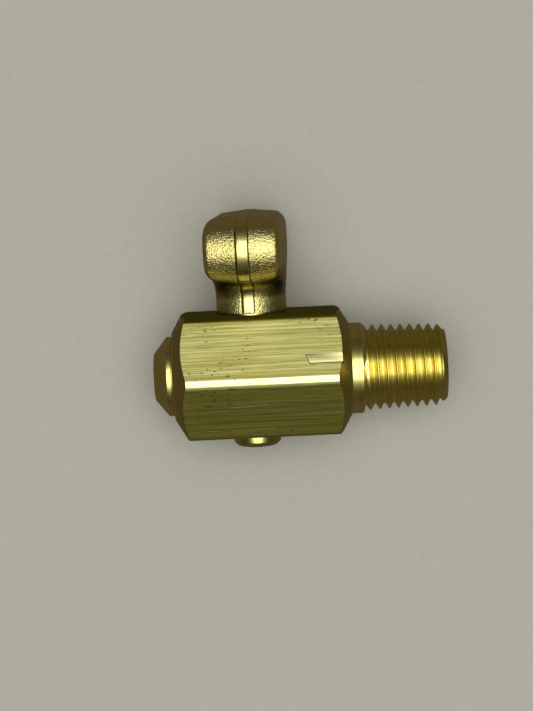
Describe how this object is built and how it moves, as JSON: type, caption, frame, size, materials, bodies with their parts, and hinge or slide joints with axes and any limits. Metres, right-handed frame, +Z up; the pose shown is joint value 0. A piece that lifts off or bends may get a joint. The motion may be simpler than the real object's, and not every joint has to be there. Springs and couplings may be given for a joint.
{
  "type": "plug cock",
  "caption": "Brass bevel-nose air cock: hexagonal body with a male tapered pipe thread, closed by a tapered key with a forged tee handle.",
  "frame": {"origin": "centre of the threaded end face, on the flow axis", "axes": "+X along the flow axis, out of the threaded end; +Y along the key's axis, towards the tee handle; +Z up, with the cock on its side, along the closed tee handle"},
  "size_m": [0.044, 0.0354, 0.028],
  "materials": {
    "bar_brass": "drawn, bright",
    "forged_brass": "forged, lightly grained",
    "turned_brass": "turned, bright",
    "spring_steel": "drawn wire"
  },
  "bodies": {
    "body": {"body": "bar_brass"},
    "key": {"tee_key": "forged_brass", "thrust_washer": "turned_brass", "key_spring": "spring_steel", "retaining_cap": "turned_brass"}
  },
  "joints": [
    {"name": "key_turn", "type": "hinge", "parent": "body", "child": "key", "pos_m": [-0.0289, 0, 0], "axis": [0, 1, 0], "continuous": true}
  ]
}
